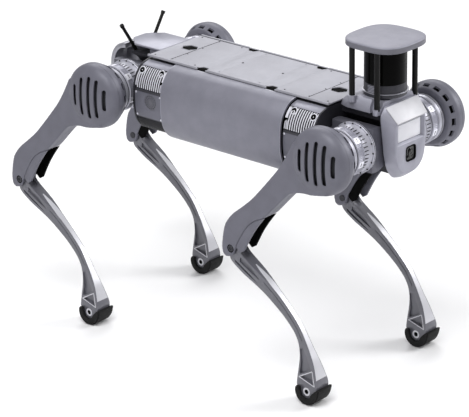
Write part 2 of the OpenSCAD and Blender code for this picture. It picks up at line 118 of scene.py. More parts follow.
def surface(name, colour, rough, metal=0.0, grain=0.0008, bump=0.15, spread=0.06, coat=0.0,
            stretch=(1, 1, 1), mottle=0.05, specular=0.5):
    """Painted, cast, moulded or machined surface: fine grain in the bump, clouds in colour and gloss."""
    m = bpy.data.materials.new(name)
    m.use_nodes = True
    t = m.node_tree
    n, link = t.nodes, t.links.new
    bsdf = n["Principled BSDF"]
    bsdf.inputs["Metallic"].default_value = metal
    bsdf.inputs["Specular IOR Level"].default_value = specular
    bsdf.inputs["Coat Weight"].default_value = coat
    bsdf.inputs["Coat Roughness"].default_value = 0.12
    coord = n.new("ShaderNodeTexCoord")
    space = n.new("ShaderNodeMapping")
    space.inputs["Scale"].default_value = stretch
    link(coord.outputs["Object"], space.inputs["Vector"])

    def cloud(scale, detail=3.0):
        c = n.new("ShaderNodeTexNoise")
        c.inputs["Scale"].default_value = scale
        c.inputs["Detail"].default_value = detail
        link(space.outputs["Vector"], c.inputs["Vector"])
        return c.outputs["Fac"]

    def ramp(source, low, high):
        r = n.new("ShaderNodeMapRange")
        r.inputs["From Min"].default_value = 0.35
        r.inputs["From Max"].default_value = 0.65
        r.inputs["To Min"].default_value = low
        r.inputs["To Max"].default_value = high
        link(source, r.inputs["Value"])
        return r.outputs["Result"]

    scale = 1 / grain
    mix = n.new("ShaderNodeMix")
    mix.data_type = "RGBA"
    mix.inputs["A"].default_value = [c * (1 - mottle) for c in colour[:3]] + [1]
    mix.inputs["B"].default_value = [min(1, c * (1 + mottle)) for c in colour[:3]] + [1]
    link(ramp(cloud(scale / 40), 0, 1), mix.inputs["Factor"])
    link(mix.outputs["Result"], bsdf.inputs["Base Color"])
    link(ramp(cloud(scale / 12, 5), max(0.02, rough - spread), rough + spread), bsdf.inputs["Roughness"])
    relief = n.new("ShaderNodeBump")
    relief.inputs["Strength"].default_value = bump
    relief.inputs["Distance"].default_value = grain * 0.25
    link(cloud(scale, 2), relief.inputs["Height"])
    link(relief.outputs["Normal"], bsdf.inputs["Normal"])
    return m


TINT = 0.09
M = {
    "shell": surface("shell_paint", tone(128, TINT), 0.46, 0.25, bump=0.06, spread=0.03),
    "deck": surface("deck_paint", tone(162, 0.05), 0.56, 0.05, bump=0.05, spread=0.03, mottle=0.03,
                    specular=0.25),
    "hood": surface("hood_paint", tone(152, 0.08), 0.40, 0.30, bump=0.05, spread=0.03),
    "leg": surface("leg_paint", tone(107, 0.10), 0.48, 0.15, bump=0.06, spread=0.03, specular=0.35),
    "cast": surface("dark_casting", tone(50, 0.12), 0.5, 0.3, grain=0.0015, bump=0.2, spread=0.05),
    "black": surface("black_plastic", tone(10, 0.05), 0.7, bump=0.1, specular=0.03),
    "dark": surface("dark_plastic", tone(40, 0.12), 0.5, 0.1, bump=0.1, specular=0.25),
    "metal": surface("bare_metal", tone(168, 0.05), 0.36, 0.75, grain=0.0012, bump=0.05, spread=0.04,
                     mottle=0.03),
    # The calf's own metal is kept dark for its shaded sides; a lighter copy paints the highlight on its
    # front.
    "calf": surface("calf_metal", tone(100, 0.08), 0.34, 0.25, grain=0.0016, bump=0.04, spread=0.03,
                    mottle=0.03, specular=0.9),
    "motor": surface("motor_metal", tone(182, 0.06), 0.36, 0.35, grain=0.0012, bump=0.04,
                     spread=0.04, mottle=0.03, stretch=(1, 8, 1)),
    # The lighter metal: a painted highlight on the calf's front face and the foot's ribs.
    "bright": surface("highlight_metal", tone(205, 0.03), 0.34, 0.3, grain=0.0016, bump=0.03, spread=0.03,
                      mottle=0.02, specular=0.8),
    "fins": surface("fin_metal", tone(228, 0.04), 0.4, 0.3, grain=0.0016, bump=0.03, spread=0.03,
                    mottle=0.02),
    "sensor": surface("sensor_grey", tone(62, 0.1), 0.42, 0.4, grain=0.0012, bump=0.05),
    "window": surface("lidar_black", tone(4), 0.25, grain=0.004, bump=0.01, spread=0.03,
                      specular=0.05),
    "glass": surface("camera_glass", tone(5), 0.12, grain=0.004, bump=0.01, spread=0.02,
                     specular=0.3, coat=0.2),
    "post": surface("black_post", tone(12, 0.05), 0.40, grain=0.0012, bump=0.05, specular=0.2),
    "lens": surface("light_lens", tone(222, 0.03), 0.40, grain=0.002, bump=0.04, spread=0.04),
    "rubber": surface("sole_rubber", tone(26), 0.7, grain=0.001, bump=0.3, mottle=0.1,
                      specular=0.2),
    "antenna": surface("antenna_rubber", tone(12), 0.5, grain=0.001, bump=0.15, specular=0.2),
    "board": surface("circuit_board", (0.02, 0.12, 0.05, 1), 0.4, bump=0.1),
    "steel": surface("rod_steel", tone(150), 0.36, 0.8, grain=0.001, bump=0.05),
    "cap": surface("cap_paint", tone(134, 0.08), 0.50, 0.10, bump=0.05, spread=0.03, specular=0.3),
    # Darker paint for the lidar roof's side band, painted shade against its top; the fan grilles use it
    # too.
    "rim": surface("lidar_side_shade_and_grille_paint", tone(108, 0.08), 0.50, 0.10, bump=0.05, spread=0.03, specular=0.3),
    "block": surface("block_paint", tone(68, TINT), 0.46, 0.3, bump=0.06, spread=0.03),
    # The visor's paint is lighter than the hood's: a painted highlight on its sloped face.
    "white": surface("visor_highlight_paint", tone(184, 0.03), 0.40, 0.05, bump=0.04, spread=0.03),
    "housing": surface("housing_metal", tone(98, 0.1), 0.42, 0.5, bump=0.08, spread=0.04),
    "bolt": surface("bolt_black", tone(14), 0.4, 0.4, grain=0.001, bump=0.05, specular=0.25),
}

# ---------------------------------------------------------------- mesh tools


def spline(points, steps=8):
    """Catmull-Rom curve through the points."""
    out = []
    for i in range(len(points) - 1):
        a, b = points[max(i - 1, 0)], points[i]
        c, d = points[i + 1], points[min(i + 2, len(points) - 1)]
        for j in range(steps):
            u = j / steps
            out.append(tuple(0.5 * (2 * q + (r - p) * u + (2 * p - 5 * q + 4 * r - s) * u * u
                                    + (3 * q - p - 3 * r + s) * u ** 3)
                             for p, q, r, s in zip(a, b, c, d)))
    return out + [tuple(points[-1])]


def even(points, count):
    """The same open line with count points evenly spaced along it."""
    lengths = [0.0]
    for a, b in zip(points, points[1:]):
        lengths.append(lengths[-1] + math.dist(a, b))
    out, k = [], 0
    for i in range(count):
        want = lengths[-1] * i / (count - 1)
        while k < len(points) - 2 and lengths[k + 1] < want:
            k += 1
        span = lengths[k + 1] - lengths[k]
        u = (want - lengths[k]) / span if span else 0
        out.append(tuple(p + (q - p) * u for p, q in zip(points[k], points[k + 1])))
    return out


def solid(rings, around=True, caps=True):
    """A mesh through rings of points. Around joins each ring's ends, caps closes the first and last."""
    bm = bmesh.new()
    rows = [[bm.verts.new(p) for p in ring] for ring in rings]
    for low, high in zip(rows, rows[1:]):
        n = len(low)
        for i in range(n if around else n - 1):
            j = (i + 1) % n
            bm.faces.new((low[i], low[j], high[j], high[i]))
    if caps:
        bm.faces.new(list(reversed(rows[0])))
        bm.faces.new(rows[-1])
    bmesh.ops.recalc_face_normals(bm, faces=bm.faces)
    return bm


def revolved(profile, steps=64, axis="Y", centre=(0, 0, 0), closed=False, wave=None):
    """A solid of revolution from (radius, height) points. Closed joins the profile's ends, and wave
    gives what to add to the radius at an angle and a height."""
    cx, cy, cz = centre
    rows = []
    line = list(profile) + ([profile[0]] if closed else [])
    for k in range(steps):
        a = 2 * math.pi * k / steps
        row = []
        for r, h in line:
            r = max(r, 0.001)
            if wave:
                r += wave(a, h)
            u, v = r * math.cos(a), r * math.sin(a)
            row.append({"X": (cx + h, cy + u, cz + v), "Y": (cx + u, cy + h, cz + v),
                        "Z": (cx + u, cy + v, cz + h)}[axis])
        rows.append(row)
    bm = solid(rows + [rows[0]], around=False, caps=False)
    bmesh.ops.remove_doubles(bm, verts=bm.verts, dist=0.01)
    bmesh.ops.recalc_face_normals(bm, faces=bm.faces)
    return bm


def drum(radius, low, high, steps, axis="Y", centre=(0, 0, 0), hub=0):
    """A cylinder between two heights. Hub is the radius its flat ends are drawn from."""
    return revolved([(hub, low), (radius, low), (radius, high), (hub, high)], steps, axis, centre)


def tube(inside, outside, low, high, steps, axis="Y", centre=(0, 0, 0)):
    profile = [(inside, low), (outside, low), (outside, high), (inside, high)]
    return revolved(profile, steps, axis, centre, closed=True)


def prism(outline, low, high, axis="Y"):
    """A flat outline spread along an axis. The outline is in the other two axes, in X, Y, Z order."""
    def at(p, h):
        return {"X": (h, p[0], p[1]), "Y": (p[0], h, p[1]), "Z": (p[0], p[1], h)}[axis]
    return solid([[at(p, low) for p in outline], [at(p, high) for p in outline]])


def box(x0, x1, y0, y1, z0, z1):
    return prism([(x0, y0), (x1, y0), (x1, y1), (x0, y1)], z0, z1, "Z")


def joined(*parts):
    """Several bmeshes as one, each kept as its own closed shell."""
    out = bmesh.new()
    for part in parts:
        mesh = bpy.data.meshes.new("part")
        part.to_mesh(mesh)
        out.from_mesh(mesh)
        part.free()
        bpy.data.meshes.remove(mesh)
    return out


def placed(bm, matrix):
    bm.transform(matrix)
    return bm


def copies(make, matrices):
    return joined(*[placed(make(), m) for m in matrices])


def piece(name, bm, material, body=None, place=TRUNK, sharp=35, replaces=()):
    """An object from a bmesh drawn in millimetres, riding on a CAD body."""
    bm.transform(place)
    if place.determinant() < 0:
        bmesh.ops.reverse_faces(bm, faces=bm.faces)
    mesh = bpy.data.meshes.new(name)
    bm.to_mesh(mesh)
    bm.free()
    obj = bpy.data.objects.new(name, mesh)
    bpy.context.scene.collection.objects.link(obj)
    return finish_piece(obj, material, body, sharp, replaces)


def finish_piece(obj, material, body, sharp=35, replaces=()):
    """Gives an object its material and shading, and its CAD body and the nodes it stands in for."""
    obj.data.materials.clear()
    obj.data.materials.append(M[material])
    shade(obj, sharp)
    if body:
        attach(obj, body)
    if replaces:
        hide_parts(*replaces)
    return obj


def shade(obj, sharp=35):
    mesh = obj.data
    for p in mesh.polygons:
        p.use_smooth = True
    mesh.set_sharp_from_angle(angle=math.radians(sharp))


def apply_modifiers(obj):
    graph = bpy.context.evaluated_depsgraph_get()
    graph.update()
    mesh = bpy.data.meshes.new_from_object(obj.evaluated_get(graph))
    old = obj.data
    obj.modifiers.clear()
    obj.data = mesh
    bpy.data.meshes.remove(old)


def bevelled(obj, width, segments=3, angle=28):
    m = obj.modifiers.new("bevel", "BEVEL")
    m.width = width * MM
    m.segments = segments
    m.limit_method = "ANGLE"
    m.angle_limit = math.radians(angle)
    m.use_clamp_overlap = True
    m.miter_outer = "MITER_ARC"
    apply_modifiers(obj)
    return obj


def softened(obj, voxel, rounds, factor=0.5):
    m = obj.modifiers.new("remesh", "REMESH")
    m.mode = "VOXEL"
    m.voxel_size = voxel * MM
    m = obj.modifiers.new("smooth", "SMOOTH")
    m.factor = factor
    m.iterations = rounds
    apply_modifiers(obj)
    return obj


def cut(obj, bm, place=TRUNK, keep=False):
    """Takes the bmesh's shape away from the object, or with keep leaves only what is inside it."""
    bm.transform(place)
    if place.determinant() < 0:
        bmesh.ops.reverse_faces(bm, faces=bm.faces)
    mesh = bpy.data.meshes.new("cutter")
    bm.to_mesh(mesh)
    bm.free()
    cutter = bpy.data.objects.new("cutter", mesh)
    bpy.context.scene.collection.objects.link(cutter)
    m = obj.modifiers.new("cut", "BOOLEAN")
    m.object = cutter
    m.operation = "INTERSECT" if keep else "DIFFERENCE"
    m.solver = "EXACT"
    apply_modifiers(obj)
    bpy.data.objects.remove(cutter)
    return obj


def from_node(node, name=None):
    """A free copy of a CAD node's mesh, welded and with its flat faces merged."""
    obj = bpy.data.objects.new(name or node + "_look", frame["nodes"][node].data.copy())
    bpy.context.scene.collection.objects.link(obj)
    bm = bmesh.new()
    bm.from_mesh(obj.data)
    bmesh.ops.remove_doubles(bm, verts=bm.verts, dist=2e-6)
    bmesh.ops.dissolve_limit(bm, angle_limit=math.radians(0.6), verts=bm.verts, edges=bm.edges)
    clean = bpy.data.meshes.new(obj.name)
    bm.to_mesh(clean)
    bm.free()
    old = obj.data
    obj.data = clean
    bpy.data.meshes.remove(old)
    return obj


def refined(node, material, width=1.0, segments=2, sharp=32):
    """A CAD node's shape with its edges broken, in place of the node."""
    body = frame["nodes"][node]["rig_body"]
    obj = bevelled(from_node(node), width, segments)
    return finish_piece(obj, material, body, sharp, [node])


def paint(node, material):
    """A CAD node that stays, with a better material."""
    frame["nodes"][node].material_slots[0].material = M[material]


# ---------------------------------------------------------------- small parts


def screw(radius, high, turn=Matrix.Identity(4)):
    """A domed cap screw with a hexagonal socket, standing along Z."""
    outer = [(0.001, 0), (radius, 0), (radius, high * 0.6), (radius * 0.85, high),
             (radius * 0.5, high)]
    steps = 12
    rings = [[(r * math.cos(2 * math.pi * k / steps), r * math.sin(2 * math.pi * k / steps), h)
              for k in range(steps)] for r, h in outer[1:]]
    rings.append([(radius * 0.5 * math.cos(2 * math.pi * k / steps),
                   radius * 0.5 * math.sin(2 * math.pi * k / steps), high * 0.25)
                  for k in range(steps)])
    return placed(solid(rings), turn)


def on_y(x, y, z, out=1):
    """Stands a part made along Z on a face that looks along +Y or -Y."""
    return Matrix.Translation((x, y, z)) @ Matrix.Rotation(-out * math.pi / 2, 4, "X")


# ---------------------------------------------------------------- camera and light

scene = bpy.context.scene
scene.view_settings.view_transform = "Standard"

SENSOR = 36.0
WIDTHS_AWAY = 2526.85 / 469  # how many times its own width away the view spans one width
FROM_CENTRE = Vector((3.46780, -3.95447, 1.86213))
right = Vector((0.747723, 0.663796, -0.016897))
up = Vector((-0.235465, 0.288857, 0.927964))
back = Vector((0.620859, -0.689882, 0.372286))
camera = bpy.data.objects.new("camera", bpy.data.cameras.new("camera"))
scene.collection.objects.link(camera)
camera.data.sensor_width = SENSOR
camera.data.lens = WIDTHS_AWAY * SENSOR
camera.data.clip_start = 0.1
camera.data.clip_end = 50
turn = Matrix((right, up, back)).transposed().to_4x4()
camera.matrix_world = Matrix.Translation(CENTRE + FROM_CENTRE) @ turn
scene.camera = camera


def light(name, where, aim, size, power):
    lamp = bpy.data.lights.new(name, "AREA")
    lamp.shape = "RECTANGLE"
    lamp.size, lamp.size_y = size
    lamp.energy = power
    obj = bpy.data.objects.new(name, lamp)
    scene.collection.objects.link(obj)
    obj.location = where
    obj.rotation_euler = (Vector(aim) - Vector(where)).to_track_quat("-Z", "Y").to_euler()


light("key", (0.6, -1.7, 3.3), (0, 0, 0.45), (2.0, 2.0), 84)
light("front", (2.3, 2.7, 2.4), (0.1, 0, 0.4), (1.6, 1.6), 88)
light("side", (-0.8, -3.0, 3.2), (0, 0, 0.4), (2.4, 1.4), 8)
light("backdrop", (-4.5, 4.5, 5.0), (-4.5, 4.5, 0), (5, 5), 330)

world = bpy.data.worlds.new("world")
scene.world = world
world.use_nodes = True
world.node_tree.nodes["Background"].inputs["Color"].default_value = (1, 1, 1, 1)
world.node_tree.nodes["Background"].inputs["Strength"].default_value = 0.36

bm = bmesh.new()
bmesh.ops.create_grid(bm, x_segments=8, y_segments=8, size=14)
floor_mesh = bpy.data.meshes.new("floor")
bm.to_mesh(floor_mesh)
bm.free()
floor = bpy.data.objects.new("floor", floor_mesh)
scene.collection.objects.link(floor)
M["floor"] = surface("floor", (0.93, 0.93, 0.94, 1), 0.75, grain=0.01, bump=0.02, mottle=0.01)
floor.data.materials.append(M["floor"])

# ---------------------------------------------------------------- trunk

for node, material in [("chassis", "cast"), ("battery_pack", "dark"), ("control_board", "board"),
                       ("lidar_rotor", "dark"), ("camera_window", "glass"),
                       ("antenna_right", "antenna"), ("antenna_left", "antenna"),
                       ("lidar_window", "window"), ("lidar_posts", "post")]:
    paint(node, material)

refined("deck_plate", "deck", 0.8, 2)
refined("deck_end_covers", "deck", 0.8, 2)
refined("lashing_pockets", "black", 0.4, 1)
refined("belly_cover", "shell", 1.5, 3)
refined("head_hood", "hood", 1.2, 3)
refined("rear_hood", "hood", 0.8, 2)
refined("tail_shell", "metal", 1.0, 2)
refined("light_panel", "lens", 1.2, 3)
refined("lidar_base", "sensor", 0.6, 2)

# The trunk's cross-section from the deck's edge down, as (outward, up)
BARREL = [(92, 80), (108, 76), (121, 69), (136, 51), (144, 30), (147, 0), (146, -30), (140, -55),
          (127, -75), (109, -88), (85, -97.5), (61, -104)]


def skin(inset, low=-200, high=200, count=60):
    """The trunk's side moved inward, as points (outward, up) from top to bottom."""
    line = even(spline(BARREL), count)
    out = []
    for i, p in enumerate(line):
        a, b = line[max(i - 1, 0)], line[min(i + 1, count - 1)]
        d = math.dist(a, b)
        q = (p[0] + inset * (b[1] - a[1]) / d, p[1] - inset * (b[0] - a[0]) / d)
        if low < q[1] < high:
            out.append(q)
    return out


def band(x0, x1, outer, inner, low=-200, high=200, count=60):
    """A strip of the trunk's side between two depths and two heights."""
    ring = skin(outer, low, high, count) + skin(inner, low, high, count)[::-1]
    return solid([[(x0, y, z) for y, z in ring], [(x1, y, z) for y, z in ring]])


def corner(sx, sy):
    return Matrix.Diagonal((sx, sy, 1, 1))


SIDES = [("right", -1), ("left", 1)]
SHELL_HALF, SHELL_WALL = edge("side_shell_left", HIGH, X), 3
for word, sy in SIDES:
    obj = piece("shell_" + word,
                placed(band(-SHELL_HALF, SHELL_HALF, 0, SHELL_WALL, count=90), corner(1, sy)), "shell",
                "trunk", sharp=30)
    bevelled(obj, 1.2, 3)
    finish_piece(obj, "shell", "trunk", 30, ["side_shell_" + word])
    # Thin strips of the lighter hood paint at both ends of each side shell: painted highlight on the
    # shells' end edges.
    edges = joined(*[band(x, x + 1.6, -0.1, 1.2, count=90)
                     for x in (0.1 - SHELL_HALF, SHELL_HALF - 1.7)])
    piece("shell_edge_highlight_" + word, placed(edges, corner(1, sy)), "hood", "trunk")
    lip = joined(*[band(x, x + 3, SHELL_WALL + 0.2, 5.2) for x in (0.5 - SHELL_HALF, SHELL_HALF - 3.5)])
    piece("shell_lip_" + word, placed(lip, corner(1, sy)), "shell", "trunk")
    lips = joined(*[box(x - 13, x + 13, 91.6, 96, 76.2, 79.6) for x in (-100, 100)])
    obj = piece("notch_lips_" + word, placed(lips, corner(1, sy)), "metal", "trunk")
    finish_piece(bevelled(obj, 1.2, 3), "metal", "trunk")

# The finned blocks that carry the hips, drawn for the left front corner
CORNERS = [("fr", 1, -1), ("fl", 1, 1), ("rr", -1, -1), ("rl", -1, 1)]
BLOCK_REAR, BLOCK_FRONT = SHELL_HALF + 2, edge("hip_blocks", HIGH, X) - 0.1
FIN_LOW, FIN_HIGH, FIN_PITCH = 19, 66, 6.2
FIN_ROWS = [BLOCK_REAR + 11 + FIN_PITCH * i for i in range(11)]
BORE_Y, BORE_R = 72, 30.05
FAN_X = edge("fan_guards", HIGH, X) - 17.4
FAN_Z = (edge("fan_guards", LOW, Z) + edge("fan_guards", HIGH, Z)) / 2
FAN_OUT = edge("fan_guards", HIGH, Y) + 2.1
FAN = (FAN_X, 0, FAN_Z)


def outward_at(inset, height):
    """How far out the trunk's side lies at a height, moved inward."""
    return [y for y, z in skin(inset) if z > height][-1]


def finned_block(word, turn):
    """The block with its fins, the floor between them and the two bosses; the fins' roots and the floor
    are black, painted shade in the gaps between the fins.
    """
    rear, front = BLOCK_REAR + 0.5, BLOCK_FRONT - 0.2
    core = [p for p in skin(7) if p[1] > FIN_HIGH] + skin(17, FIN_LOW, FIN_HIGH) + [
        p for p in skin(7) if p[1] < FIN_LOW]
    ring = core + [(17, -96), (17, 72)]
    obj = piece("hip_block_" + word,
                placed(solid([[(x, y, z) for y, z in ring] for x in (BLOCK_REAR, BLOCK_FRONT)]), turn),
                "block", "trunk")
    cut(obj, placed(drum(BORE_R, 236, 300, 48, "X", (0, BORE_Y, 0)), turn))
    finish_piece(bevelled(obj, 0.6, 2), "block", "trunk", 30, ["hip_blocks"])
    fins = joined(band(rear, rear + 6.5, 6.2, 12, 43, FIN_HIGH),
                  band(front - 2.6, front, 6.2, 12, 24, FIN_HIGH),
                  *[band(x, x + 2.6, 6.0, 7.3, FIN_LOW, FIN_HIGH) for x in FIN_ROWS],
                  *[band(x, x + 2.0, 7, 13.2, FIN_LOW, 41) for x in (rear + 1.5, rear + 6.1)])
    piece("hip_fins_" + word, placed(fins, turn), "fins", "trunk", sharp=30)
    # The fins' roots and the floor between the fins are black: painted shade in the deep gaps.
    root_shade = joined(*[band(x + 0.3, x + 2.3, 7.2, 15, FIN_LOW, FIN_HIGH) for x in FIN_ROWS])
    piece("hip_fin_root_shade_" + word, placed(root_shade, turn), "black", "trunk", sharp=30)
    strip = band(rear, front, 5.9, 9, FIN_HIGH + 0.3, 76)
    obj = piece("hip_strip_" + word, placed(strip, turn), "hood", "trunk", sharp=30)
    finish_piece(bevelled(obj, 0.5, 2), "hood", "trunk", 30)
    recess = band(rear + 0.1, front - 0.2, 13.6, 17.2, FIN_LOW, FIN_HIGH)
    piece("hip_fin_floor_shade_" + word, placed(recess, turn), "black", "trunk")
    pads, holes = [], []
    for x, z in [(BLOCK_REAR + 16, 59), (BLOCK_REAR + 72, 58)]:
        tilt = Matrix.Rotation(math.radians(38), 4, "X")
        tilt = Matrix.Translation((x, outward_at(6.4, z) - 1, z)) @ tilt
        pads.append(placed(revolved([(0, -6), (8.6, -6), (8.6, 2.4), (8.1, 2.9), (0, 2.9)], 28), tilt))
        holes.append(placed(revolved([(0, 0), (6.6, 0), (6.6, 3.1), (6, 3.3), (0, 2.8)], 24), tilt))
    piece("hip_pads_" + word, placed(joined(*pads), turn), "fins", "trunk")
    piece("hip_pad_holes_" + word, placed(joined(*holes), turn), "black", "trunk")


def fan_panel(word, turn):
    """The cover below the fins with its screws, the fan's guard and the grate under it."""
    panel = band(BLOCK_REAR + 1.5, BLOCK_FRONT - 0.9, 5.8, 7.4, -46, 16.5)
    obj = piece("fan_panel_" + word, placed(panel, turn), "leg", "trunk")
    cut(obj, placed(drum(18, 120, 160, 48, "Y", FAN), turn))
    finish_piece(bevelled(obj, 0.6, 2), "leg", "trunk")
    grille = [tube(r - 0.8, r + 0.8, FAN_OUT - 1.6, FAN_OUT, 48, "Y", FAN)
              for r in (4, 8.2, 12.4, 16.8)]
    for k in range(8):
        spin = Matrix.Rotation(math.pi * k / 8, 4, "Y") @ Matrix.Rotation(math.pi / 2, 4, "X")
        grille.append(placed(box(-16.5, 16.5, -0.6, 0.6, -0.8, 0.8),
                             Matrix.Translation((FAN_X, FAN_OUT - 0.9, FAN_Z)) @ spin))
    hub = [(0, FAN_OUT - 1), (2.4, FAN_OUT - 1), (2.4, FAN_OUT + 0.4), (0, FAN_OUT + 0.6)]
    grille.append(revolved(hub, 20, "Y", FAN))
    piece("fan_grille_" + word, placed(joined(*grille), turn), "rim", "trunk",
          replaces=["fan_guards"])
    piece("fan_well_" + word, placed(drum(17.9, FAN_OUT - 6, FAN_OUT - 4, 40, "Y", FAN), turn),
          "black", "trunk")
    screws = [screw(2.3, 1.4, on_y(x, outward_at(5.8, z) - 0.3, z))
              for x in (BLOCK_REAR + 5, BLOCK_REAR + 77) for z in (12, -41)]
    piece("panel_screws_" + word, placed(joined(*screws), turn), "fins", "trunk")
    first = BLOCK_REAR + 2
    bars = [band(first + 4.4 * i, first + 2.2 + 4.4 * i, 5.6, 7.4, -84, -48) for i in range(18)]
    piece("lower_grate_" + word, placed(joined(*bars), turn), "dark", "trunk")


for word, sx, sy in CORNERS:
    finned_block(word, corner(sx, sy))
    fan_panel(word, corner(sx, sy))

# Deck: screws, black strips of painted shadow in the gaps between the plates and beside the rails, rails
# along the edges and rims round the end pockets
DECK_TOP = round((MOUNTS["deck_face"] - CENTRE).z / MM, 2)
DECK_HALF, COVER_X = edge("deck_end_covers", HIGH, X) - 1, edge("deck_plate", HIGH, X)
screws = [screw(2.6, 0.9, Matrix.Translation((x, 0, DECK_TOP - 0.1))) for x in (-58, 58)]
screws += [screw(2.0, 0.9, Matrix.Translation((sx * x, sy * y, DECK_TOP - 0.1)))
           for sx in (-1, 1) for sy in (-1, 1) for x, y in ((199, 78), (130, 78), (250, 78))]
screws += [screw(1.8, 0.8, Matrix.Translation((a * 196, -a * y, DECK_TOP - 0.1)))
           for a in (-1, 1) for y in (20, -30)]
piece("deck_screws", joined(*screws), "sensor", "trunk")

# Black strips along the real gaps between the plates and inside the rails, painted as the shadow in
# these gaps.
gap_shadows = [box(-DECK_HALF, DECK_HALF, a * 85.9 - 0.7, a * 85.9 + 0.7, DECK_TOP - 0.3, DECK_TOP + 0.25)
         for a in (-1, 1)]
gap_shadows += [box(x - 0.8, x + 0.8, -85, 85, DECK_TOP - 0.3, DECK_TOP + 0.25)
          for x in (-COVER_X - 0.3, COVER_X + 0.3)]
piece("deck_gap_shadows", joined(*gap_shadows), "black", "trunk")
rails = [box(x0, x1, a * 88.6 - 2.3, a * 88.6 + 2.3, DECK_TOP + 1, DECK_TOP + 2.25)
         for a in (-1, 1) for x0, x1 in ((-DECK_HALF, -116), (-84, 84), (116, DECK_HALF))]
finish_piece(bevelled(piece("deck_rails", joined(*rails), "deck", None), 0.5, 2), "deck", "trunk")

HEX = [(-21, 0), (-10.5, 15), (10.5, 15), (21, 0), (10.5, -15), (-10.5, -15)]


def hex_rim(cx, cy, high=0.7, wide=1.6):
    rings = []
    for grow, z in ((0, 0), (0, high), (wide, high), (wide, 0)):
        k = 1 + grow / 16
        rings.append([(cx + x * k, cy + y * k, DECK_TOP + z - 0.15) for x, y in HEX])
    return solid(rings + [rings[0]], caps=False)


rims = joined(hex_rim(222, -6), hex_rim(-222, 6))
finish_piece(bevelled(piece("pocket_rims", rims, "deck", None), 0.3, 2), "deck", "trunk")

# Face: a lofted cowl with a scooped recess for the light and a square hole for the camera
FACE_X, COWL_X = edge("face_bezel", HIGH, X) - 4, edge("face_bezel", LOW, X) + 0.4
BROW_X, CAMERA_Z = FACE_X - 27, -18
REAR_SIDE = [(61, 76), (62, 66), (58.5, 40), (53.5, 5), (50, -20), (43, -45), (33, -63), (20, -76),
             (0, -82)]
FRONT_SIDE = [(50.5, 55), (50.6, 48), (50.8, 28), (50.5, 3), (50, -12), (45.5, -33), (36, -48),
              (21, -58), (0, -61)]


def cowl_ring(x):
    """The cowl's outline at a distance from the middle, sloped down in front of the brow."""
    k = (x - COWL_X) / (FACE_X - COWL_X)
    ease = k ** 1.25
    top = 91.5 if x < BROW_X else 91.5 - (x - BROW_X) * 1.04
    side = [(a + (c - a) * ease, b + (d - b) * ease)
            for (a, b), (c, d) in zip(REAR_SIDE, FRONT_SIDE)]
    side[0] = (side[0][0], min(side[0][1], top - 3))
    half = [(50 + (46 - 50) * ease, top)] + even(spline(side, 6), 34)
    ring = [(0, top)] + half + [(-y, z) for y, z in half[:-1][::-1]]
    return [(x, y, z) for y, z in ring]


rings = [cowl_ring(x) for x in
         [COWL_X] + [BROW_X + d for d in (-4, 0, 5, 11, 17, 23)] + [FACE_X]]
cowl = piece("face_cowl", solid(rings), "hood", None)
bevelled(cowl, 2.4, 4, 24)
opening = [(-44, 7), (44, 7), (45, 57), (-45, 57)]
floor_of_it = [(-39.5, 12.5), (39.5, 12.5), (39.5, 54), (-39.5, 54)]
cut(cowl, solid([[(FACE_X - 8, y, z) for y, z in floor_of_it],
                 [(FACE_X + 4, y * 1.04, z + (1 if z > 30 else -1)) for y, z in opening]]))


def squircle(a, b, n=5, count=48):
    """A rounded square or oblong, with squarer corners for a higher n."""
    out = []
    for k in range(count):
        c, s = math.cos(2 * math.pi * k / count), math.sin(2 * math.pi * k / count)
        out.append((math.copysign(a * abs(c) ** (2 / n), c), math.copysign(b * abs(s) ** (2 / n), s)))
    return out


cut(cowl, prism([(y, z + CAMERA_Z) for y, z in squircle(17.2, 17.2)], FACE_X - 14, FACE_X + 9, "X"))
cut(cowl, box(COWL_X - 2, FACE_X - 15, -40, 40, -45, 60))
finish_piece(bevelled(cowl, 0.7, 2, 40), "hood", "trunk", 30, ["face_bezel"])

brow = [(BROW_X + 0.2, -54, 89.5), (BROW_X + 0.2, 54, 89.5), (BROW_X + 1.8, 54.5, 92.3),
        (BROW_X + 1.8, -54.5, 92.3)]
tip = [(FACE_X + 3.6, -50.5, 58), (FACE_X + 3.6, 50.5, 58), (FACE_X + 4, 50.8, 60.6),
       (FACE_X + 4, -50.8, 60.6)]
# The visor takes a lighter paint than the cowl, a painted highlight where its slope faces the light.
visor = solid([brow, tip])
finish_piece(bevelled(piece("visor", visor, "white", None), 1.1, 3), "white", "trunk")

rim = squircle(17.1, 17.1)
rings = [[(x, y * k, z * k + CAMERA_Z) for y, z in rim] for x, k in
         ((FACE_X - 3, 1), (FACE_X + 0.5, 1), (FACE_X + 1.1, 0.96), (FACE_X + 0.9, 0.90),
          (FACE_X - 1.2, 0.87), (FACE_X - 3, 0.86))]
piece("camera_rim", solid(rings + [rings[0]], caps=False), "black", "trunk")
eyes = joined(*[revolved([(0, -0.5), (r, -0.5), (r, 1.1), (r * 0.86, 1.7), (r * 0.72, 1.3),
                          (r * 0.5, 1.9), (0, 2.3)], 28, "X", (FACE_X - 1.8, y, z + CAMERA_Z))
                for r, y, z in ((6.4, 0, 4.5), (3.2, -7, -7), (3.2, 7, -7))])
piece("camera_lenses", eyes, "glass", "trunk")

# Lidar tower: roof as (height, inset), ribs on its base and the ring it stands in
LIDAR_X = (middle("lidar_window") - CENTRE).x / MM
CAP_LOW, WINDOW_LOW = edge("lidar_window", HIGH, Z) + 0.2, edge("lidar_window", LOW, Z)
levels = [(0, 2.0), (0.6, 0.6), (1.6, 0), (12.2, 0), (13.4, 0.5), (14.3, 1.6), (14.9, 3.2),
          (15.6, 7), (16.4, 14), (17.2, 24), (18, 38), (18.6, 54), (18.8, 72)]
